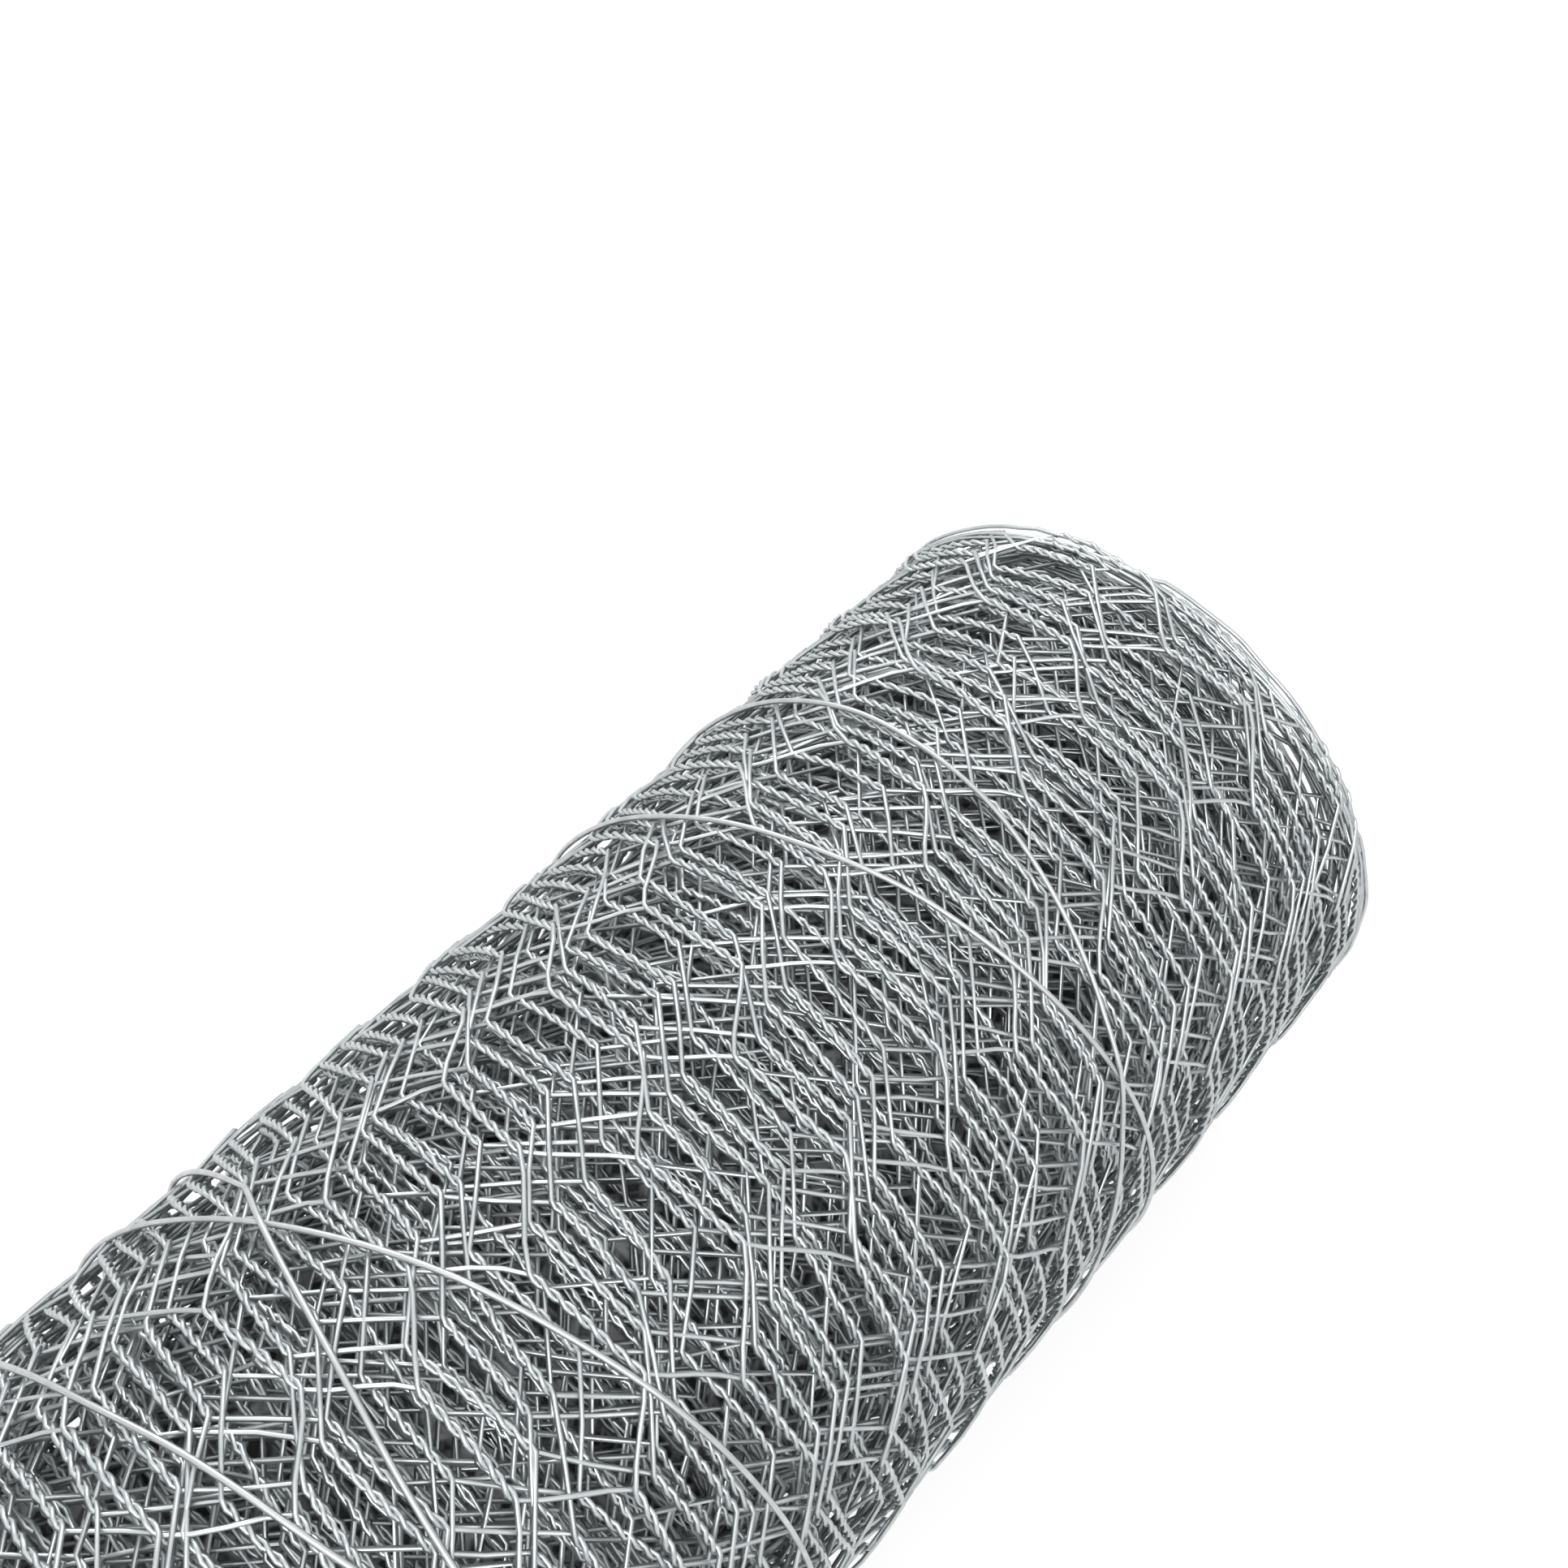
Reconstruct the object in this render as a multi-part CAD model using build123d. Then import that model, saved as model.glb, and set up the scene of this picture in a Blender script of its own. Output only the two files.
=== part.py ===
"""A roll of galvanised hexagonal wire netting, lying on its side and bound with wire loops.

Millimetres. The roll's axis runs along X, Z is up, and the origin is on the floor under the
middle of the roll. The netting is one turned solid with a bore, and the gap between its turns
shows as a spiral on both ends. Each binding wire is a flat loop that leans across the roll.
"""

import os
from dataclasses import dataclass
from math import cos, floor, pi, radians, sin, tau

from build123d import *

# Netting roll
NETTING_WIDTH = 500.0  # from one selvedge to the other, which is the roll's length
ROLL_DIAMETER = 138.0
BORE_DIAMETER = 48.0
TURN_PITCH = 0.885  # radial step from one turn of netting to the next, which nests in it
TURN_GAP = 0.9  # open gap that shows between turns at the ends
TURNS_PER_GAP = 6  # turns that lie together between one gap and the next
TURN_GAP_DEPTH = 8.0
EDGE_CHAMFER = 0.9  # eases the rim and the mouth of the bore

# Binding wires
BINDING_DIAMETER = 1.1
BINDING_RUN_COUNT = 36  # straight runs of a taut loop, from one high spot of the netting to the next
BINDING_SIDE_COUNT = 8  # the thin wire is drawn eight-sided
SEAT_CLEARANCE = 0.1  # between a loop and what it lies on


@dataclass(frozen=True)
class BindingLoop:
    """One loop of binding wire.

    The loop leans: its middle is at place_share of the roll's length, and it rises along the
    axis by lean_share of the roll's radius at the bearing, which is measured in degrees from
    the top of the roll towards its front. A loop of tier 0 lies on the netting, and one of
    tier 1 passes over those of tier 0.
    """

    place_share: float
    lean_share: float
    bearing: float
    tier: int


BINDING_LOOPS = {
    "binding_wire_far_under": BindingLoop(0.798, 0.25, 79.0, 0),
    "binding_wire_far_over": BindingLoop(0.808, 0.42, -16.0, 1),
    "binding_wire_middle_under": BindingLoop(0.569, 0.46, 60.0, 0),
    "binding_wire_middle_over": BindingLoop(0.576, 0.25, -112.0, 1),
    "binding_wire_middle_single": BindingLoop(0.503, 0.28, 66.0, 0),
    "binding_wire_near_under": BindingLoop(0.202, 0.25, -101.0, 0),
    "binding_wire_near_over": BindingLoop(0.192, 0.42, 164.0, 1),
}

ROLL_RADIUS = ROLL_DIAMETER / 2
BORE_RADIUS = BORE_DIAMETER / 2
GAP_PITCH = TURNS_PER_GAP * TURN_PITCH
TOP_TIER = max(loop.tier for loop in BINDING_LOOPS.values())


def loop_radius(tier: int) -> float:
    """Radius to the corners of a loop, whose runs clear whatever is under them."""
    below = ROLL_RADIUS if tier == 0 else loop_radius(tier - 1) + BINDING_DIAMETER / 2
    return (below + SEAT_CLEARANCE + BINDING_DIAMETER / 2) / cos(pi / BINDING_RUN_COUNT)


AXIS_HEIGHT = loop_radius(TOP_TIER) + BINDING_DIAMETER / 2  # the top tier touches the floor


def turned_body() -> Part:
    """The plain turned roll: a wall from the bore to the outer rim, with both edges eased."""
    wall = ROLL_RADIUS - BORE_RADIUS
    profile = Pos(0, AXIS_HEIGHT + BORE_RADIUS + wall / 2) * Rectangle(NETTING_WIDTH, wall)
    profile = chamfer(profile.vertices(), EDGE_CHAMFER)
    axis = Axis((0, 0, AXIS_HEIGHT), (1, 0, 0))
    return revolve(Plane.XZ * profile, axis)


def spiral_line(start_radius: float, half_turns: int) -> list[Edge]:
    """A spiral that grows by one gap pitch a turn, drawn as half circles on two centres."""
    arcs = []
    for half in range(half_turns):
        radius = start_radius + half * GAP_PITCH / 2
        centre = (0, 0) if half % 2 == 0 else (GAP_PITCH / 2, 0)
        start_angle = 0 if half % 2 == 0 else 180
        arcs.append(CenterArc(centre, radius, start_angle, 180))
    return arcs


def turn_gap() -> Sketch:
    """The gap between the turns, from the first turns at the bore to the last ones at the rim."""
    turns = floor((ROLL_RADIUS - BORE_RADIUS) / GAP_PITCH) - 2
    start = BORE_RADIUS + GAP_PITCH
    inner = spiral_line(start - TURN_GAP / 2, 2 * turns)
    outer = spiral_line(start + TURN_GAP / 2, 2 * turns)
    closing = [Line(inner[0] @ 0, outer[0] @ 0), Line(inner[-1] @ 1, outer[-1] @ 1)]
    return make_face(inner + outer + closing)


def netting_roll() -> Part:
    """The roll of netting, with the spiral of its turns cut into both ends."""
    gap = extrude(turn_gap(), TURN_GAP_DEPTH)
    end = NETTING_WIDTH / 2
    far_end = Plane((end, 0, AXIS_HEIGHT), x_dir=(0, 0, 1), z_dir=(-1, 0, 0))
    near_end = Plane((-end, 0, AXIS_HEIGHT), x_dir=(0, 0, 1), z_dir=(1, 0, 0))
    return turned_body() - far_end * gap - near_end * gap


def binding_loop(loop: BindingLoop) -> Part:
    """A thin wire, taken once round the roll in short straight runs and leaning as it goes."""
    radius = loop_radius(loop.tier)
    middle = (loop.place_share - 1 / 2) * NETTING_WIDTH
    corners = []
    for run in range(BINDING_RUN_COUNT):
        turn = tau * run / BINDING_RUN_COUNT
        lean = loop.lean_share * ROLL_RADIUS * cos(turn - radians(loop.bearing))
        corners.append((middle + lean, -radius * sin(turn), AXIS_HEIGHT + radius * cos(turn)))
    path = Polyline(corners, close=True)
    section = RegularPolygon(BINDING_DIAMETER / 2, BINDING_SIDE_COUNT)
    return sweep(Plane(path @ 0, z_dir=path % 0) * section, path, transition=Transition.RIGHT)


def main() -> None:
    """Write one STEP file for each piece."""
    os.makedirs("parts", exist_ok=True)
    export_step(netting_roll(), "parts/netting_roll.step")
    for name, loop in BINDING_LOOPS.items():
        export_step(binding_loop(loop), f"parts/{name}.step")


main()
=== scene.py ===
"""Dresses the roll of wire netting: its wound hexagonal mesh, its selvedges and its binding wires.

Metres, in the frame of the part: the roll's axis runs along X, and Z is up. A bearing is an angle
round the roll, measured from its top towards its front, which is the side that faces -Y.
"""

from __future__ import annotations

import logging
import math
from dataclasses import dataclass
from enum import Enum

import bpy
from mathutils import Matrix, Vector

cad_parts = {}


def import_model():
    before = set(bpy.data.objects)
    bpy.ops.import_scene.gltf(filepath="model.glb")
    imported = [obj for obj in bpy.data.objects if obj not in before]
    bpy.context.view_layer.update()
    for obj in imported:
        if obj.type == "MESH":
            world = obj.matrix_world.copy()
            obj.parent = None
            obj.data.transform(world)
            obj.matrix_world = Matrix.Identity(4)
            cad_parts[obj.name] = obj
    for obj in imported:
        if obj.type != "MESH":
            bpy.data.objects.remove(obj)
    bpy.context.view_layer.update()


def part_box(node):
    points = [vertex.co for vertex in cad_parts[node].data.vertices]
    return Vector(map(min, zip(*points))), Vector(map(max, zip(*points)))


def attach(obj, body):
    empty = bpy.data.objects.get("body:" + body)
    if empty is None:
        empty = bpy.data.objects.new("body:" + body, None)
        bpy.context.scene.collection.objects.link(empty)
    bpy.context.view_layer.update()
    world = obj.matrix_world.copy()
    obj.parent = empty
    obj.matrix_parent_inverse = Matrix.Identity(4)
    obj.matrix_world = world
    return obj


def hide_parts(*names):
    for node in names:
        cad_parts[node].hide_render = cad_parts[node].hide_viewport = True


LOG = logging.getLogger("netting_roll")
MM = 0.001
QUARTER_TURN = math.pi / 2.0
FLOOR_GAP_WIRES = 1.0  # from the netting to the floor, in thicknesses of binding wire
WHITE = (1.0, 1.0, 1.0, 1.0)

Colour = tuple[float, float, float]
Place = tuple[float, float, float]


class Term:
    """A value in a node tree, which can be worked with like a number."""

    def __init__(self, bench: Bench, socket: bpy.types.NodeSocket) -> None:
        """Keeps the socket that gives the value, and the bench that its nodes are laid on."""
        self.bench = bench
        self.socket = socket

    def __add__(self, other: Value) -> Term:
        """Sum of two values."""
        return self.bench.math("ADD", self, other)

    def __radd__(self, other: Value) -> Term:
        """Sum with a plain number on the left."""
        return self.bench.math("ADD", other, self)

    def __sub__(self, other: Value) -> Term:
        """Difference of two values."""
        return self.bench.math("SUBTRACT", self, other)

    def __rsub__(self, other: Value) -> Term:
        """Difference with a plain number on the left."""
        return self.bench.math("SUBTRACT", other, self)

    def __mul__(self, other: Value) -> Term:
        """Product of two values."""
        return self.bench.math("MULTIPLY", self, other)

    def __rmul__(self, other: Value) -> Term:
        """Product with a plain number on the left."""
        return self.bench.math("MULTIPLY", other, self)

    def __truediv__(self, other: Value) -> Term:
        """Quotient of two values."""
        return self.bench.math("DIVIDE", self, other)

    def __neg__(self) -> Term:
        """The value with its sign turned."""
        return self.bench.math("MULTIPLY", self, -1.0)

    def __mod__(self, other: Value) -> Term:
        """Remainder, which is never negative."""
        return self.bench.math("FLOORED_MODULO", self, other)

    def floor(self) -> Term:
        """The whole number at or below the value."""
        return self.bench.math("FLOOR", self)

    def sin(self) -> Term:
        """Sine of an angle in radians."""
        return self.bench.math("SINE", self)

    def cos(self) -> Term:
        """Cosine of an angle in radians."""
        return self.bench.math("COSINE", self)

    def root(self) -> Term:
        """Square root of the value."""
        return self.bench.math("SQRT", self)

    def at_least(self, other: Value) -> Term:
        """The larger of two values."""
        return self.bench.math("MAXIMUM", self, other)

    def at_most(self, other: Value) -> Term:
        """The smaller of two values."""
        return self.bench.math("MINIMUM", self, other)

    def above(self, other: Value) -> Term:
        """One where the value is greater than the other, and nought elsewhere."""
        return self.bench.math("GREATER_THAN", self, other)

    def below(self, other: Value) -> Term:
        """One where the value is less than the other, and nought elsewhere."""
        return self.bench.math("LESS_THAN", self, other)

    def size(self) -> Term:
        """The value without its sign."""
        return self.bench.math("ABSOLUTE", self)


Value = Term | float


class Bench:
    """Lays nodes on a tree and links them."""

    def __init__(self, tree: bpy.types.NodeTree) -> None:
        """Takes the tree that the nodes are laid on."""
        self.tree = tree

    def node(self, kind: str, **settings: object) -> bpy.types.Node:
        """Lays one node.

        Args:
            kind: Blender's name for the type of node.
            settings: Properties to set on it.

        Returns:
            The new node.
        """
        node = self.tree.nodes.new(kind)
        for name, setting in settings.items():
            setattr(node, name, setting)
        return node

    def feed(self, socket: bpy.types.NodeSocket, value: object) -> None:
        """Links a term or another socket to an input, or writes a plain value on it.

        Args:
            socket: The input.
            value: A term, an output socket or a plain value.
        """
        if isinstance(value, Term):
            self.tree.links.new(value.socket, socket)
        elif isinstance(value, bpy.types.NodeSocket):
            self.tree.links.new(value, socket)
        else:
            socket.default_value = value

    def apply(self, kind: str, inputs: dict[str, object], **settings: object) -> bpy.types.NodeSocket:
        """Lays a node, feeds its inputs and gives its first output.

        Args:
            kind: Blender's name for the type of node.
            inputs: Values for its inputs, by name.
            settings: Properties to set on it.

        Returns:
            The node's first output.
        """
        node = self.node(kind, **settings)
        for name, value in inputs.items():
            self.feed(node.inputs[name], value)
        return node.outputs[0]

    def math(self, operation: str, *values: Value) -> Term:
        """Lays one step of arithmetic.

        Args:
            operation: Blender's name for the step.
            values: What it works on.

        Returns:
            The result.
        """
        node = self.node("ShaderNodeMath", operation=operation)
        for socket, value in zip(node.inputs, values):
            self.feed(socket, value)
        return Term(self, node.outputs[0])

    def vector(self, x: Value, y: Value, z: Value) -> bpy.types.NodeSocket:
        """Joins three values into a vector.

        Args:
            x: First value.
            y: Second value.
            z: Third value.

        Returns:
            The vector's socket.
        """
        return self.apply("ShaderNodeCombineXYZ", {"X": x, "Y": y, "Z": z})

    def parts(self, vector: bpy.types.NodeSocket) -> list[Term]:
        """Splits a vector into its three values.

        Args:
            vector: The vector's socket.

        Returns:
            The values along X, Y and Z.
        """
        node = self.node("ShaderNodeSeparateXYZ")
        self.feed(node.inputs[0], vector)
        return [Term(self, socket) for socket in node.outputs]

    def wander(self, at: bpy.types.NodeSocket, feature: float) -> list[Term]:
        """Three smooth random values, each from about -1 to 1.

        Args:
            at: Where they are read, as a vector in metres.
            feature: Rough size of one swell, in metres.

        Returns:
            The three values.
        """
        noise = self.node("ShaderNodeTexNoise", noise_dimensions="3D")
        self.feed(noise.inputs["Vector"], at)
        self.feed(noise.inputs["Scale"], 1.0 / feature)
        self.feed(noise.inputs["Detail"], 0.0)
        middle, spread = 0.5, 3.0
        return [(value - middle) * spread for value in self.parts(noise.outputs["Color"])]


class ShapeTree(Bench):
    """A Geometry Nodes tree with named inputs."""

    def __init__(self, name: str) -> None:
        """Makes the tree, with one geometry output.

        Args:
            name: The tree's name.
        """
        super().__init__(bpy.data.node_groups.new(name, "GeometryNodeTree"))
        self.tree.interface.new_socket("Geometry", in_out="OUTPUT", socket_type="NodeSocketGeometry")
        self.inlet = self.node("NodeGroupInput")
        self.outlet = self.node("NodeGroupOutput")
        self.names: dict[str, str] = {}

    def count(self, name: str) -> Term:
        """Adds a whole-number input."""
        return self._input(name, "NodeSocketInt")

    def length(self, name: str) -> Term:
        """Adds an input for a length, share, angle or other number."""
        return self._input(name, "NodeSocketFloat")

    def _input(self, name: str, kind: str) -> Term:
        """Adds an input and remembers its identifier.

        Args:
            name: The input's name.
            kind: Type of its socket.

        Returns:
            The input's value.
        """
        self.names[name] = self.tree.interface.new_socket(name, in_out="INPUT", socket_type=kind).identifier
        return Term(self, self.inlet.outputs[name])

    def index(self) -> Term:
        """The number of each point."""
        return Term(self, self.node("GeometryNodeInputIndex").outputs[0])

    def strands(self, points: Term, copies: Term | int) -> bpy.types.NodeSocket:
        """Like strands with like numbers of points, one after the other.

        Args:
            points: Points on a strand.
            copies: Number of strands.

        Returns:
            The strands as curves.
        """
        line = self.apply("GeometryNodeMeshLine", {"Count": points})
        strand = self.apply("GeometryNodeMeshToCurve", {"Mesh": line})
        inputs = {"Geometry": strand, "Amount": copies}
        return self.apply("GeometryNodeDuplicateElements", inputs, domain="SPLINE")

    def tubes(
        self, strands: bpy.types.NodeSocket, at: bpy.types.NodeSocket, radius: Value, sides: Value
    ) -> bpy.types.NodeSocket:
        """Bends strands to their places and gives them the thickness of wire.

        Args:
            strands: The curves.
            at: Place of each point.
            radius: Radius of the wire.
            sides: Sides of its section.

        Returns:
            The wires as a smooth mesh.
        """
        bent = self.apply("GeometryNodeSetPosition", {"Geometry": strands, "Position": at})
        section = self.apply("GeometryNodeCurvePrimitiveCircle", {"Resolution": sides, "Radius": radius})
        inputs = {"Curve": bent, "Profile Curve": section, "Fill Caps": True}
        tubes = self.apply("GeometryNodeCurveToMesh", inputs)
        return self.apply("GeometryNodeSetShadeSmooth", {"Geometry": tubes})

    def close(self, shape: bpy.types.NodeSocket, finish: bpy.types.Material) -> None:
        """Ends the tree with a plain mesh in one material.

        Args:
            shape: What the tree has made.
            finish: Its material.
        """
        plain = self.apply("GeometryNodeRealizeInstances", {"Geometry": shape})
        dressed = self.apply("GeometryNodeSetMaterial", {"Geometry": plain, "Material": finish})
        self.feed(self.outlet.inputs[0], dressed)

    def make(self, name: str, sizes: dict[str, float]) -> bpy.types.Object:
        """Runs the tree and keeps the result as a plain mesh.

        Args:
            name: Name of the new object.
            sizes: Values for the inputs, by name.

        Returns:
            The object, without a modifier.
        """
        piece = bpy.data.objects.new(name, bpy.data.meshes.new(name))
        bpy.context.scene.collection.objects.link(piece)
        maker = piece.modifiers.new(name, "NODES")
        maker.node_group = self.tree
        for label, value in sizes.items():
            maker[self.names[label]] = value
        bpy.context.view_layer.update()
        shown = piece.evaluated_get(bpy.context.evaluated_depsgraph_get())
        mesh = bpy.data.meshes.new_from_object(shown)
        piece.modifiers.remove(maker)
        piece.data = mesh
        mesh.name = name
        return piece


@dataclass(frozen=True)
class ZincFinish:
    """Galvanised wire: bright zinc with a slight mottle."""

    name: str
    pale: Colour
    dull: Colour
    smooth: float
    rough: float
    mottle: float = 3.0 * MM
    dull_below: float = 0.3
    pale_above: float = 0.7

    def material(self) -> bpy.types.Material:
        """Makes the material.

        Returns:
            The new material.
        """
        material = bpy.data.materials.new(self.name)
        material.use_nodes = True
        bench = Bench(material.node_tree)
        shader = material.node_tree.nodes["Principled BSDF"]
        shader.inputs["Metallic"].default_value = 1.0
        place = bench.node("ShaderNodeTexCoord").outputs["Object"]
        inputs = {"Vector": place, "Scale": 1.0 / self.mottle, "Detail": 2.0}
        noise = bench.apply("ShaderNodeTexNoise", inputs)
        ramp = bench.node("ShaderNodeValToRGB")
        bench.feed(ramp.inputs["Fac"], noise)
        stops = (self.dull_below, self.dull), (self.pale_above, self.pale)
        for element, (position, colour) in zip(ramp.color_ramp.elements, stops):
            element.position = position
            element.color = (*colour, 1.0)
        bench.feed(shader.inputs["Base Color"], ramp.outputs["Color"])
        spread = {
            "Value": noise, "From Min": self.dull_below, "From Max": self.pale_above,
            "To Min": self.rough, "To Max": self.smooth,
        }
        bench.feed(shader.inputs["Roughness"], bench.apply("ShaderNodeMapRange", spread))
        return material


@dataclass(frozen=True)
class DeepShadePaint:
    """What shows between the outer turns, in painted shade: near-black gaps and strokes of darkened wire,
    which run the ways that the mesh does.
    """

    name: str
    # The strokes' colour is wire dimmed by painted shade; the colour between them is painted shade.
    wire: Colour
    shaded_gap: Colour
    slants: tuple[float, ...] = (0.0, math.radians(53.0), math.radians(-53.0))
    stroke: float = 14.0 * MM
    spacing: float = 2.4 * MM
    hidden_below: float = 0.5
    clear_above: float = 0.68
    roughness: float = 0.55

    def material(self) -> bpy.types.Material:
        """Makes the material, on a map that runs round the roll one way and along it the other.

        Returns:
            The new material.
        """
        material = bpy.data.materials.new(self.name)
        material.use_nodes = True
        bench = Bench(material.node_tree)
        shader = material.node_tree.nodes["Principled BSDF"]
        shader.inputs["Metallic"].default_value = 1.0
        shader.inputs["Roughness"].default_value = self.roughness
        around, along, _ = bench.parts(bench.node("ShaderNodeTexCoord").outputs["UV"])
        shown: Value = 0.0
        for slant in self.slants:
            way = around * math.cos(slant) + along * math.sin(slant)
            across = along * math.cos(slant) - around * math.sin(slant)
            at = bench.vector(way / self.stroke, across / self.spacing, slant)
            noise = bench.apply("ShaderNodeTexNoise", {"Vector": at, "Scale": 1.0, "Detail": 1.0})
            spread = {"Value": noise, "From Min": self.hidden_below, "From Max": self.clear_above}
            shown = Term(bench, bench.apply("ShaderNodeMapRange", spread)).at_least(shown)
        mix = bench.node("ShaderNodeMix", data_type="RGBA")
        bench.feed(mix.inputs["Factor"], shown)
        bench.feed(mix.inputs["A"], (*self.shaded_gap, 1.0))
        bench.feed(mix.inputs["B"], (*self.wire, 1.0))
        bench.feed(shader.inputs["Base Color"], mix.outputs["Result"])
        return material


class Detail(Enum):
    """How finely netting is made."""

    OUTER = (21, 4, 5, 3.5)
    UNDER = (16, 2, 4, 3.5)
    DEEP = (10, 1, 3, 3.5)
    DIM = (8, 1, 3, 3.5)
    FAINT = (4, 1, 3, 1.5)

    def __init__(self, twist_points: int, bend_points: int, sides: int, twist_turns: float) -> None:
        """Names the values of a level.

        Args:
            twist_points: Points of a wire in one twist.
            bend_points: Points of a wire from one twist to the next.
            sides: Sides of a wire's section.
            twist_turns: Turns that two wires make in one twist.
        """
        self.twist_points = twist_points
        self.bend_points = bend_points
        self.sides = sides
        self.twist_turns = twist_turns


@dataclass(frozen=True)
class Stretch:
    """Some rows of the wound strip, with all its wires or only those at one edge."""

    name: str
    first_row: int
    rows: int
    first_wire: int
    wires: int
    detail: Detail


@dataclass
class Netting:
    """Hexagonal netting, wound into a roll from its outer end inwards."""

    length: float
    radius: float
    axis_height: float
    mesh: float = 25.0 * MM  # from one twist to the next
    wire: float = 0.9 * MM
    turn_rows: float = 12.06  # rows of mesh in a nested turn
    nested_rows: int = 62  # rows of the outer turns, which nest in one another
    inner_row_length: float = 33.2 * MM  # of a row in the free turns under them
    twist_share: float = 0.63  # of a row's length
    twist_reach: float = 0.54  # from the middle of a twist to a wire's, in thicknesses of wire
    bend_ease: float = 0.4  # how far the bends between twists are rounded
    nested_pitch: float = 0.28 * MM  # from one nested turn to the next
    turn_pitch: float = 0.82 * MM  # from one free turn to the next
    bore_radius: float = 24.0 * MM
    lap_bearing: float = math.radians(221.0)  # of the outer end of the strip
    drift_turns: float = 5.6  # turns in which the strip goes along the roll and back
    drift_step: float = 5.2 * MM  # along the roll, in one turn
    drift_start: float = -14.9 * MM
    stray: float = 260.0 * MM  # size of a swell in the strip's slow wander
    stray_reach: float = 1.8 * MM
    fray_share: float = 0.009  # of half the width, by which the edges of the turns draw in unevenly
    shift: float = 30.0 * MM  # size of a swell in the pull on the corners of the mesh
    shift_reach: float = 2.3 * MM
    shift_lift_share: float = 0.2
    slip_reach: float = 4.0 * MM  # of that pull, round the roll
    ripple: float = 13.0 * MM  # size of a swell in the small bends of a wire
    ripple_reach: float = 0.5 * MM
    ripple_lift_share: float = 0.6
    shown_rows: tuple[tuple[int, Detail], ...] = (
        (13, Detail.OUTER), *((12, Detail.UNDER),) * 4,
        (36, Detail.DEEP), (40, Detail.DIM), *((95, Detail.FAINT),) * 2,
    )
    core_rows: int = 10  # made from edge to edge at the bore
    edge_wires: int = 4  # made at each edge of the hidden turns
    selvedge_wires: int = 2

    def strip_wires(self) -> int:
        """Number of wires across the strip, with those of both selvedges."""
        return round(self.length / (self.mesh / 2)) + 2 * self.selvedge_wires

    def nested_radius(self) -> float:
        """Radius of the wire's axis under the outer turns, whose rows lie over one another."""
        return self.radius - self.wire - self.nested_pitch * self.nested_rows / self.turn_rows

    def rows_to(self, radius: float) -> int:
        """Number of rows of mesh from the outer end of the strip to a radius under the nested turns."""
        area = math.pi * (self.nested_radius() ** 2 - radius**2)
        return self.nested_rows + int(area / self.turn_pitch / self.inner_row_length)

    def shown_radius(self) -> float:
        """Radius that is left under the turns that are made from edge to edge."""
        rows = sum(rows for rows, _ in self.shown_rows) - self.nested_rows
        return math.sqrt(self.nested_radius() ** 2 - rows * self.inner_row_length * self.turn_pitch / math.pi)

    def stretches(self) -> list[Stretch]:
        """Divides the strip into the stretches that are made.

        Returns:
            The outer turns, each made less finely than those over it, then the edges of the inner
            turns, then the turns at the bore.
        """
        pieces, row = [], 0
        first, wires = -self.selvedge_wires, self.strip_wires()
        for rows, detail in self.shown_rows:
            pieces.append(Stretch(f"netting_{len(pieces) + 1:02d}", row, rows, first, wires, detail))
            row += rows
        core = self.rows_to(self.bore_radius + self.wire) - self.core_rows
        for name, wire in (("near", first), ("far", first + wires - self.edge_wires)):
            name = f"netting_inner_{name}_edge"
            pieces.append(Stretch(name, row, core - row, wire, self.edge_wires, Detail.FAINT))
        return [*pieces, Stretch("netting_bore", core, self.core_rows, first, wires, Detail.FAINT)]

    def tree(self, finish: bpy.types.Material) -> ShapeTree:
        """Builds the rule that the wires follow.

        Each wire zigzags along the strip. In every row it twists with the wire on one side of it,
        and in the next row with the wire on its other side. The strip is then wound into a spiral.

        Args:
            finish: Material of the wire.

        Returns:
            The tree.
        """
        tree = ShapeTree("hexagonal_netting")
        first_wire, wires = tree.count("First Wire"), tree.count("Wires")
        first_row, rows = tree.count("First Row"), tree.count("Rows")
        twist_points, bend_points = tree.count("Twist Points"), tree.count("Bend Points")
        sides, tube = tree.count("Sides"), tree.length("Tube Radius")
        width, mesh, thick = tree.length("Width"), tree.length("Mesh"), tree.length("Wire Diameter")
        turn_rows, nested_rows = tree.length("Rows per Turn"), tree.count("Nested Rows")
        row_length, share = tree.length("Inner Row Length"), tree.length("Twist Share")
        turns, outer = tree.length("Twist Turns"), tree.length("Outer Radius")
        nested_pitch, pitch = tree.length("Nested Pitch"), tree.length("Turn Pitch")
        height, lap = tree.length("Axis Height"), tree.length("Lap Bearing")

        # The wire and row of each point, and its place in that row's twist or bend
        row_points = twist_points + bend_points
        points = rows * row_points + 1.0
        index = tree.index()
        strand = ((index + 0.5) / points).floor()
        step = index - strand * points
        row = ((step + 0.5) / row_points).floor()
        place = step - row * row_points
        twist = (place / twist_points).at_most(1.0)
        bend = (place - twist_points).at_least(0.0) / bend_points
        bending = place.above(twist_points - 0.5)
        eased = bend + (bend * bend * (3.0 - 2.0 * bend) - bend) * self.bend_ease
        wire, row = strand + first_wire, row + first_row

        # The lane that a wire keeps in a row, and how the corners of the mesh are pulled about
        edge = mesh / 4.0
        lane = 1.0 - 2.0 * ((wire + row) % 2.0)
        here, there = wire * mesh / 2.0 + lane * edge, wire * mesh / 2.0 - lane * edge
        starts = tree.vector(here, (row + share * bending) * row_length, 0.0)
        ends = tree.vector(
            here + (there - here) * bending, (row + share + (1.0 - share) * bending) * row_length, 0.0
        )
        way = twist + (bend - twist) * bending
        corners = zip(tree.wander(starts, self.shift), tree.wander(ends, self.shift))
        shift_x, shift_arc, shift_r = [start + (end - start) * way for start, end in corners]

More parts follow.
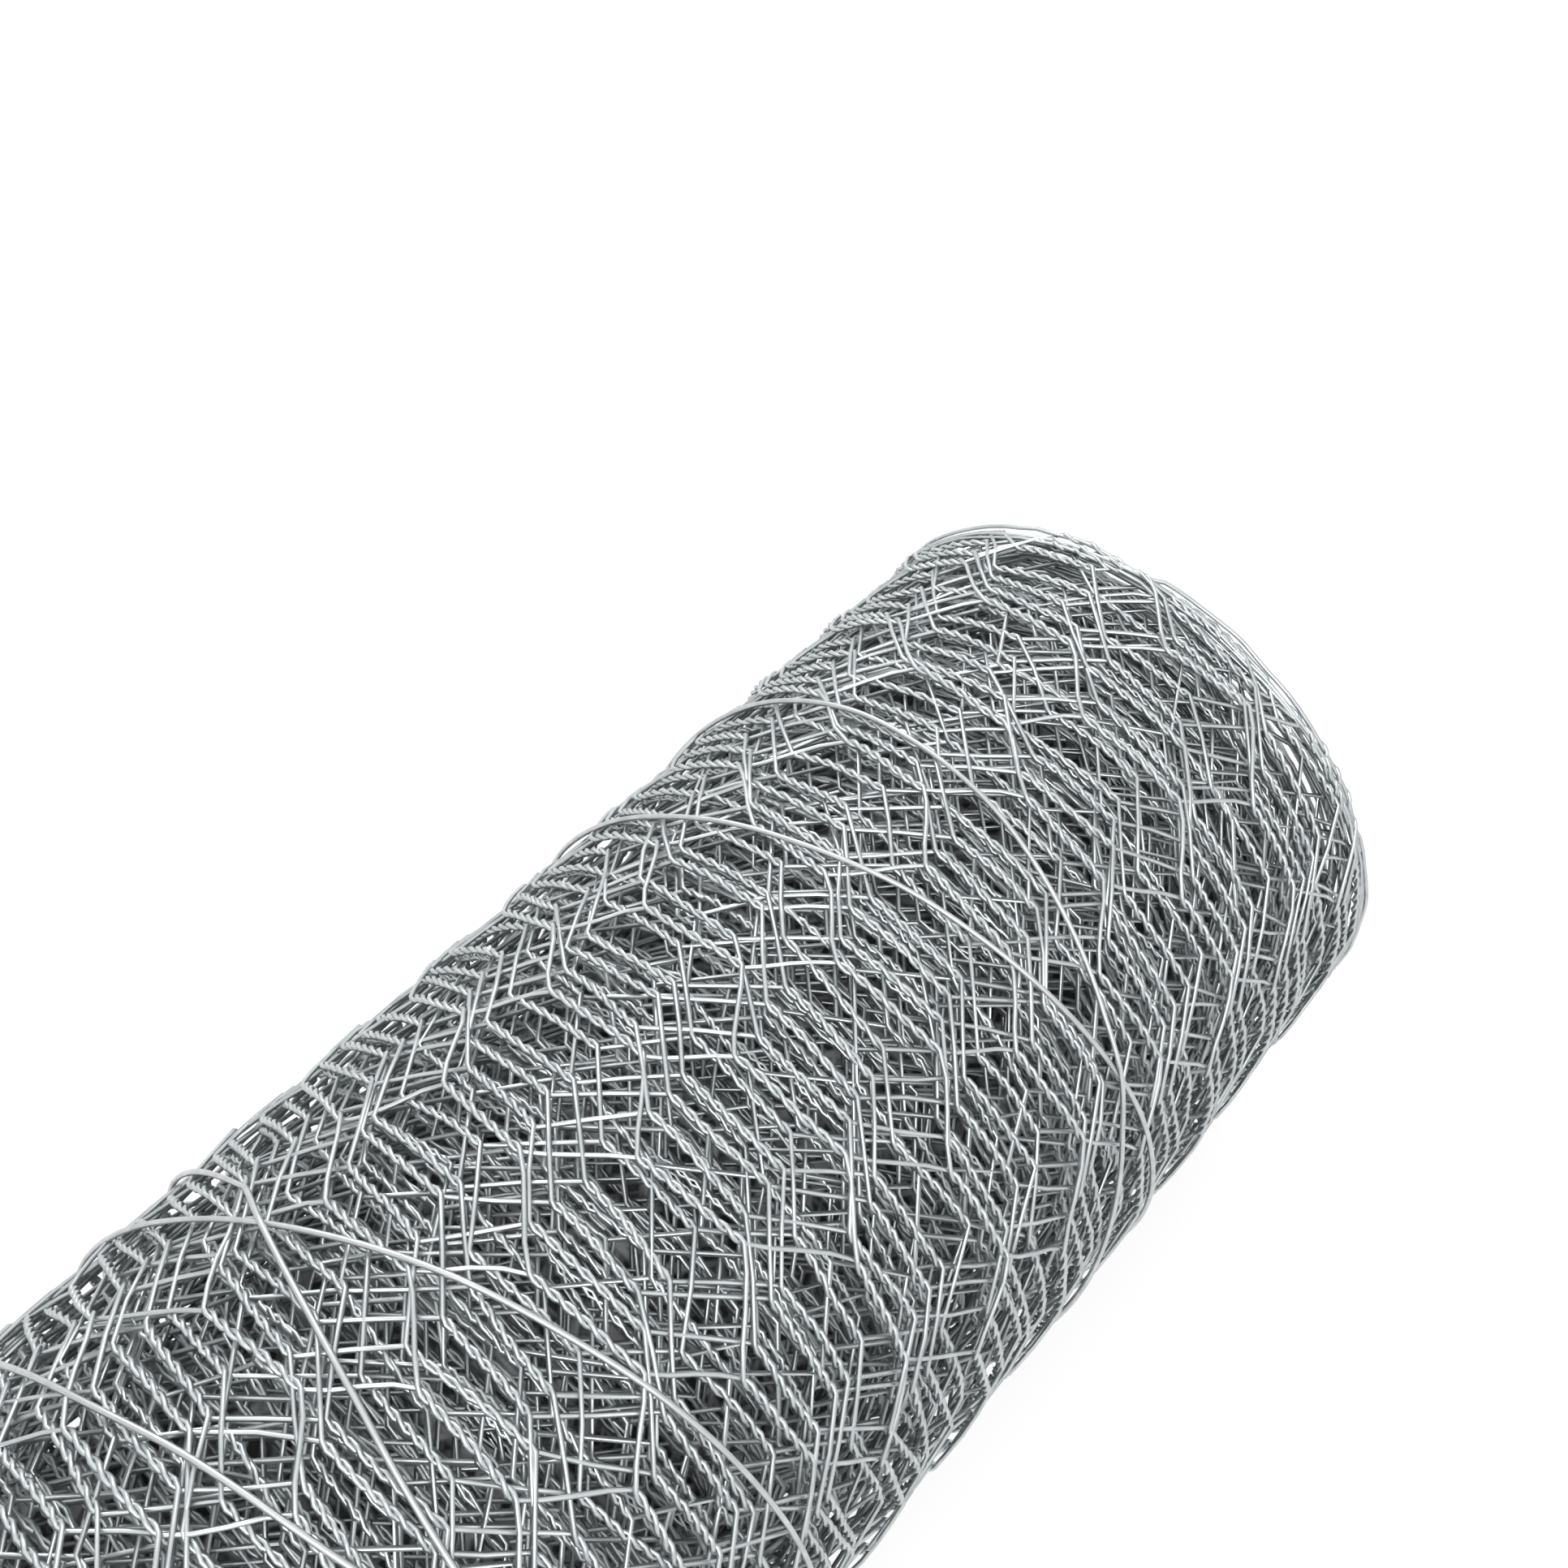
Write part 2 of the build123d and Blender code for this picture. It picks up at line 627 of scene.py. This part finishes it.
        # How far the strip is wound, in the nested turns and then in the free ones under them
        wound = row + share * twist + (1.0 - share) * bend
        nested = wound.at_most(nested_rows) / turn_rows
        inner = outer - nested_pitch * nested_rows / turn_rows
        free = (wound - nested_rows).at_least(0.0) * row_length
        free = (inner - (inner * inner - pitch * free / math.pi).root()) / pitch
        bearing = lap + (nested + free) * math.tau
        sway = (nested + free) % self.drift_turns
        drift = self.drift_step * sway.at_most((self.drift_turns - sway) * (self.drift_turns - 1.0))

        # Place along the roll, between the selvedges, and the turn of two wires in a twist
        stray_x, stray_arc, fray = tree.wander(tree.vector(0.0, wound * row_length, 0.0), self.stray)
        drift = drift + self.drift_start + stray_x * self.stray_reach
        axis = here + (there - here) * eased + drift + shift_x * self.shift_reach
        across = axis.at_least(-edge).at_most(width - edge) + edge - width / 2.0
        twisted = wire.above(0.5 - self.selvedge_wires) * wire.below(width / (mesh / 2.0) + 0.5)
        reach = lane * self.twist_reach * thick * twisted
        spin = QUARTER_TURN + twist * turns * math.tau
        strip = tree.vector(here + (there - here) * eased, wound * row_length, 0.0)
        ripple_x, ripple_arc, ripple_r = tree.wander(strip, self.ripple)

        # Place in the frame
        x = across * (1.0 - self.fray_share * (1.0 + fray))
        x = x - reach * spin.cos() + ripple_x * self.ripple_reach
        slip = stray_arc * self.stray_reach + shift_arc * self.slip_reach + ripple_arc * self.ripple_reach
        angle = bearing + slip / outer
        out = outer - nested_pitch * nested - pitch * free - reach * spin.sin()
        out = out + shift_r * (self.shift_lift_share * self.shift_reach)
        out = out + ripple_r * (self.ripple_lift_share * self.ripple_reach)
        at = tree.vector(x, -(out * angle.sin()), height + out * angle.cos())
        tree.close(tree.tubes(tree.strands(points, wires), at, tube, sides), finish)
        return tree

    def build(self, finish: bpy.types.Material) -> list[bpy.types.Object]:
        """Makes every stretch.

        Args:
            finish: Material of the wire.

        Returns:
            One object for each stretch.
        """
        tree = self.tree(finish)
        pieces = []
        for stretch in self.stretches():
            detail = stretch.detail
            sizes = {
                "First Wire": stretch.first_wire,
                "Wires": stretch.wires,
                "First Row": stretch.first_row,
                "Rows": stretch.rows,
                "Twist Points": detail.twist_points,
                "Bend Points": detail.bend_points,
                "Sides": detail.sides,
                "Tube Radius": tube_radius(self.wire, detail.sides),
                "Width": self.length,
                "Mesh": self.mesh,
                "Wire Diameter": self.wire,
                "Rows per Turn": self.turn_rows,
                "Nested Rows": self.nested_rows,
                "Inner Row Length": self.inner_row_length,
                "Twist Share": self.twist_share,
                "Twist Turns": detail.twist_turns,
                "Nested Pitch": self.nested_pitch,
                "Turn Pitch": self.turn_pitch,
                "Outer Radius": self.radius - self.wire,
                "Axis Height": self.axis_height,
                "Lap Bearing": self.lap_bearing,
            }
            pieces.append(tree.make(stretch.name, sizes))
        return pieces


def tube_radius(diameter: float, sides: int) -> float:
    """Radius of a wire's section, so that a few flat sides look as thick as the round wire.

    Args:
        diameter: Diameter of the round wire.
        sides: Sides of the section.

    Returns:
        Radius to the corners.
    """
    return diameter * math.pi / (2 * sides * math.sin(math.pi / sides))


@dataclass
class DeepTurns:
    """A plain ring in place of the turns between those that are modelled and the bore, to carry their painted
    shade.
    """

    length: float
    axis_height: float
    outer_radius: float
    bore_radius: float
    end_inset: float = 18.0 * MM
    bore_inset: float = 3.5 * MM
    segments: int = 120

    def build(self, finish: bpy.types.Material) -> bpy.types.Object:
        """Turns a plain ring-shaped solid, with a map that runs round it and along it.

        Args:
            finish: Its material.

        Returns:
            The object.
        """
        half, bore = self.length / 2 - self.end_inset, self.bore_radius + self.bore_inset
        profile = [(-half, self.outer_radius), (half, self.outer_radius), (half, bore), (-half, bore)]
        arc = math.tau * self.outer_radius / self.segments
        points, faces, spots = [], [], []
        for segment in range(self.segments):
            angle = math.tau * segment / self.segments
            here, there = segment * len(profile), (segment + 1) % self.segments * len(profile)
            for corner, (x, out) in enumerate(profile):
                points.append((x, -out * math.sin(angle), self.axis_height + out * math.cos(angle)))
                after = (corner + 1) % len(profile)
                faces.append((here + corner, there + corner, there + after, here + after))
                start, end = arc * segment, arc * (segment + 1)
                spots += [(start, x), (end, x), (end, profile[after][0]), (start, profile[after][0])]
        mesh = bpy.data.meshes.new("deep_turns")
        mesh.from_pydata(points, [], faces)
        mesh.materials.append(finish)
        chart = mesh.uv_layers.new(name="round_and_along")
        for corner, spot in zip(chart.data, spots):
            corner.uv = spot
        piece = bpy.data.objects.new("deep_turns", mesh)
        bpy.context.scene.collection.objects.link(piece)
        return piece


@dataclass(frozen=True)
class BindingWire:
    """One loop of binding wire, which leans as it goes round the roll and ends in a twisted tail."""

    node: str
    bearing: float
    crosses: str = ""
    kink_bearing: float = 0.0
    kink_reach: float = 0.6
    kink_offset: float = 0.0
    tail_bearing: float = math.radians(232.0)


@dataclass
class Bindings:
    """The binding wires of the roll."""

    radius: float
    axis_height: float
    wire: float = 1.1 * MM
    loop_points: int = 180
    sides: int = 6
    tail_length: float = 14.0 * MM
    tail_turns: float = 3.5
    tail_points: int = 42
    rise_reach: float = math.radians(9.0)  # to each side of a crossing
    swell: float = 30.0 * MM  # size of a swell in a loop's small wander
    swell_reach: float = 0.5 * MM
    bite_share: float = 0.1  # of its thickness, from the netting's outer radius in to a loop's middle
    tail_lift_share: float = 0.6  # of its thickness, from a loop's middle out to its tail's
    loops: tuple[BindingWire, ...] = (
        BindingWire("binding_wire_far_under", math.radians(79.0)),
        BindingWire("binding_wire_far_over", math.radians(-16.0), "binding_wire_far_under"),
        BindingWire("binding_wire_middle_under", math.radians(60.0)),
        BindingWire(
            "binding_wire_middle_over", math.radians(-112.0), "binding_wire_middle_under",
            kink_bearing=-1.35, kink_reach=0.8, kink_offset=-20.0 * MM,
        ),
        BindingWire("binding_wire_middle_single", math.radians(66.0)),
        BindingWire("binding_wire_near_under", math.radians(-101.0)),
        BindingWire("binding_wire_near_over", math.radians(164.0), "binding_wire_near_under"),
    )

    def tree(self, finish: bpy.types.Material) -> ShapeTree:
        """Builds the rule for a loop with its tail.

        Args:
            finish: Material of the wire.

        Returns:
            The tree.
        """
        tree = ShapeTree("binding_wire")
        points, sides, tail_points = tree.count("Points"), tree.count("Sides"), tree.count("Tail Points")
        radius, thick, tube = tree.length("Radius"), tree.length("Wire Diameter"), tree.length("Tube Radius")
        place, lean, bearing = tree.length("Place"), tree.length("Lean"), tree.length("Bearing")
        kink, kink_reach = tree.length("Kink Bearing"), tree.length("Kink Reach")
        kink_offset, height = tree.length("Kink Offset"), tree.length("Axis Height")
        crossings = tree.length("First Crossing"), tree.length("Second Crossing")
        rise, rise_reach = tree.length("Rise"), tree.length("Rise Reach")
        tail_bearing, tail_length = tree.length("Tail Bearing"), tree.length("Tail Length")
        tail_turns = tree.length("Tail Turns")

        # The loop, with its kink and its rises over the loop under it
        index = tree.index()
        angle = index / points * math.tau
        from_kink = ((angle - kink + math.pi) % math.tau - math.pi).size()
        bent = kink_offset * (1.0 - from_kink / kink_reach).at_least(0.0)
        x = place + lean * (angle - bearing).cos() + bent
        at = tree.vector(place, angle.sin() * radius, angle.cos() * radius)
        sway, _, _ = tree.wander(at, self.swell)
        x = x + sway * self.swell_reach
        out = radius
        for crossing in crossings:
            away = ((angle - crossing + math.pi) % math.tau - math.pi).size() / rise_reach
            out = out + rise * (1.0 - away).at_least(0.0)
        ring = tree.apply("GeometryNodeMeshCircle", {"Vertices": points})
        ring = tree.apply("GeometryNodeMeshToCurve", {"Mesh": ring})
        at = tree.vector(x, -(out * angle.sin()), height + out * angle.cos())
        loop = tree.tubes(ring, at, tube, sides)

        # The tail, in which the two ends of the wire are twisted
        strand = ((index + 0.5) / tail_points).floor()
        along = (index - strand * tail_points) / (tail_points - 1.0)
        spin = along * tail_turns * math.tau + strand * math.pi
        start = place + lean * (tail_bearing - bearing).cos()
        out = radius + thick * self.tail_lift_share + spin.sin() * thick / 2.0
        round_by = tail_bearing + spin.cos() * thick / 2.0 / radius
        tail_x = start + along * tail_length
        at = tree.vector(tail_x, -(out * round_by.sin()), height + out * round_by.cos())
        tail = tree.tubes(tree.strands(tail_points, 2), at, tube, sides)

        join = tree.node("GeometryNodeJoinGeometry")
        tree.feed(join.inputs[0], tail)
        tree.feed(join.inputs[0], loop)
        tree.close(join.outputs[0], finish)
        return tree

    def lie(self, loop: BindingWire) -> tuple[float, float]:
        """Finds where the solid of a loop lies.

        Args:
            loop: The loop.

        Returns:
            Its place along the roll, and how far it leans to each side of it.
        """
        low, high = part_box(loop.node)
        return (low.x + high.x) / 2, (high.x - low.x - self.wire) / 2

    def crossings(self, loop: BindingWire) -> tuple[float, float]:
        """Finds the two bearings at which a loop crosses the one under it.

        Args:
            loop: The loop that lies over.

        Returns:
            The bearings, or noughts for a loop that lies over none.
        """
        if not loop.crosses:
            return 0.0, 0.0
        under = next(other for other in self.loops if other.node == loop.crosses)
        (place, lean), (under_place, under_lean) = self.lie(loop), self.lie(under)
        along = lean * math.cos(loop.bearing) - under_lean * math.cos(under.bearing)
        aside = lean * math.sin(loop.bearing) - under_lean * math.sin(under.bearing)
        middle = math.atan2(aside, along)
        spread = math.acos((under_place - place) / math.hypot(along, aside))
        return middle + spread, middle - spread

    def build(self, finish: bpy.types.Material) -> list[bpy.types.Object]:
        """Makes every loop where its solid lies.

        Args:
            finish: Material of the wire.

        Returns:
            One object for each loop, in the order of the loops.
        """
        tree = self.tree(finish)
        pieces = []
        for loop in self.loops:
            place, lean = self.lie(loop)
            first, second = self.crossings(loop)
            sizes = {
                "Points": self.loop_points,
                "Sides": self.sides,
                "Tail Points": self.tail_points,
                "Radius": self.radius - self.bite_share * self.wire,
                "Wire Diameter": self.wire,
                "Tube Radius": tube_radius(self.wire, self.sides),
                "Place": place,
                "Lean": lean,
                "First Crossing": first,
                "Second Crossing": second,
                "Rise": self.wire if loop.crosses else 0.0,
                "Rise Reach": self.rise_reach,
                "Bearing": loop.bearing,
                "Kink Bearing": loop.kink_bearing,
                "Kink Reach": loop.kink_reach,
                "Kink Offset": loop.kink_offset,
                "Axis Height": self.axis_height,
                "Tail Bearing": loop.tail_bearing,
                "Tail Length": self.tail_length,
                "Tail Turns": self.tail_turns,
            }
            pieces.append(tree.make(f"dressed_{loop.node}", sizes))
        return pieces


@dataclass(frozen=True)
class Lamp:
    """A square soft lamp."""

    name: str
    at: Place
    side: float
    watts: float


@dataclass
class Studio:
    """White floor, soft light and the camera of the photograph."""

    roll_length: float
    roll_radius: float
    axis_height: float
    floor_size: float = 12.0
    floor_grey: float = 0.95
    floor_glow: float = 0.62
    sky: float = 0.95
    camera_offset_radii: Place = (-3.2968, -1.4865, 4.6203)
    camera_right: Place = (0.6661, -0.7459, 0.0)
    camera_up: Place = (0.6003, 0.5361, 0.5936)
    lens_mm: float = 38.67
    sensor_mm: float = 36.0
    nearest: float = 10.0 * MM
    lamps: tuple[Lamp, ...] = (
        Lamp("key_lamp", (-0.35, -0.7, 1.15), 0.6, 7.0),
        Lamp("fill_lamp", (-0.37, -0.39, 1.28), 0.5, 4.0),
        Lamp("rim_lamp", (0.6, 0.8, 0.9), 0.6, 6.5),
    )

    def lay_floor(self) -> bpy.types.Object:
        """Lays a floor that looks white and still takes a shadow.

        Returns:
            The floor.
        """
        half = self.floor_size / 2
        corners = [(-half, -half, 0), (half, -half, 0), (half, half, 0), (-half, half, 0)]
        mesh = bpy.data.meshes.new("floor")
        mesh.from_pydata(corners, [], [(0, 1, 2, 3)])
        floor = bpy.data.objects.new("floor", mesh)
        bpy.context.scene.collection.objects.link(floor)
        material = bpy.data.materials.new("white_floor")
        material.use_nodes = True
        bench = Bench(material.node_tree)
        tree = material.node_tree
        tree.nodes.remove(tree.nodes["Principled BSDF"])
        paint = bench.apply("ShaderNodeBsdfDiffuse", {"Color": (self.floor_grey,) * 3 + (1.0,)})
        glow = bench.apply("ShaderNodeEmission", {"Color": WHITE, "Strength": 1.0})
        seen = self.seen(bench) * self.floor_glow
        mix = bench.node("ShaderNodeMixShader")
        bench.feed(mix.inputs[0], seen)
        bench.feed(mix.inputs[1], paint)
        bench.feed(mix.inputs[2], glow)
        bench.feed(tree.nodes["Material Output"].inputs["Surface"], mix.outputs[0])
        mesh.materials.append(material)
        return floor

    def seen(self, bench: Bench) -> Term:
        """One for rays that show the background, straight or in a shiny surface.

        Args:
            bench: Where the nodes are laid.

        Returns:
            The switch.
        """
        path = bench.node("ShaderNodeLightPath")
        rays = [Term(bench, path.outputs[f"Is {kind} Ray"]) for kind in ("Camera", "Glossy", "Transmission")]
        return rays[0].at_least(rays[1]).at_least(rays[2])

    def light_sky(self) -> None:
        """Makes the surroundings white to look at, and an even soft light."""
        world = bpy.data.worlds.new("white_room")
        bpy.context.scene.world = world
        world.use_nodes = True
        bench = Bench(world.node_tree)
        background = world.node_tree.nodes["Background"]
        background.inputs["Color"].default_value = WHITE
        bench.feed(background.inputs["Strength"], self.seen(bench) * (1.0 - self.sky) + self.sky)

    def hang_lamp(self, lamp: Lamp) -> None:
        """Hangs a lamp that points at the middle of the roll.

        Args:
            lamp: The lamp.
        """
        light = bpy.data.lights.new(lamp.name, "AREA")
        light.shape = "SQUARE"
        light.size = lamp.side
        light.energy = lamp.watts
        piece = bpy.data.objects.new(lamp.name, light)
        piece.location = lamp.at
        towards = Vector((0.0, 0.0, self.axis_height)) - Vector(lamp.at)
        piece.rotation_euler = towards.to_track_quat("-Z", "Y").to_euler()
        bpy.context.scene.collection.objects.link(piece)

    def place_camera(self) -> None:
        """Puts the camera where the photograph was taken from."""
        camera = bpy.data.cameras.new("camera")
        camera.sensor_width = self.sensor_mm
        camera.lens = self.lens_mm
        camera.clip_start = self.nearest
        piece = bpy.data.objects.new("camera", camera)
        far_end = Vector((self.roll_length / 2, 0.0, self.axis_height))
        right, up = Vector(self.camera_right).normalized(), Vector(self.camera_up).normalized()
        back = right.cross(up)
        turn = Matrix((right, up, back)).transposed().to_4x4()
        place = far_end + Vector(self.camera_offset_radii) * self.roll_radius
        piece.matrix_world = Matrix.Translation(place) @ turn
        bpy.context.scene.collection.objects.link(piece)
        bpy.context.scene.camera = piece

    def build(self) -> None:
        """Sets up the floor, the light and the camera."""
        self.lay_floor()
        self.light_sky()
        for lamp in self.lamps:
            self.hang_lamp(lamp)
        self.place_camera()
        bpy.context.scene.view_settings.view_transform = "Standard"


def dress(piece: bpy.types.Object, node: str) -> None:
    """Ties a piece to the part and reports it.

    Args:
        piece: The piece.
        node: Solid that it stands for.
    """
    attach(piece, "root")
    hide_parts(node)
    piece.data.calc_loop_triangles()
    LOG.info("%s: %d triangles", piece.name, len(piece.data.loop_triangles))


def main() -> None:
    """Builds the netting, the binding wires and the studio."""
    logging.basicConfig(level=logging.INFO, format="%(message)s")
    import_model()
    low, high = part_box("netting_roll")
    length, axis_height = high.x - low.x, (low.z + high.z) / 2
    radius = axis_height - Bindings.wire * FLOOR_GAP_WIRES

    zinc = ZincFinish("galvanised_wire", (0.6, 0.624, 0.629), (0.482, 0.514, 0.524), 0.35, 0.48)
    bright = ZincFinish(
        "galvanised_binding_wire", (0.615, 0.629, 0.632), (0.5, 0.515, 0.52), 0.35, 0.48
    )
    # Painted shade for the turns deep inside: dim strokes of wire over near-black gaps.
    shade = DeepShadePaint("netting_in_shadow", (0.42, 0.43, 0.435), (0.05, 0.052, 0.053))

    netting = Netting(length, radius, axis_height)
    for piece in netting.build(zinc.material()):
        dress(piece, "netting_roll")

    deep_radius = netting.shown_radius() - netting.turn_pitch
    # A ring in painted shade stands in for the deep turns under the modelled ones.
    deep = DeepTurns(length, axis_height, deep_radius, netting.bore_radius)
    dress(deep.build(shade.material()), "netting_roll")

    bindings = Bindings(radius, axis_height)
    for loop, piece in zip(bindings.loops, bindings.build(bright.material())):
        dress(piece, loop.node)

    Studio(length, radius, axis_height).build()


if __name__ == "__main__":
    main()
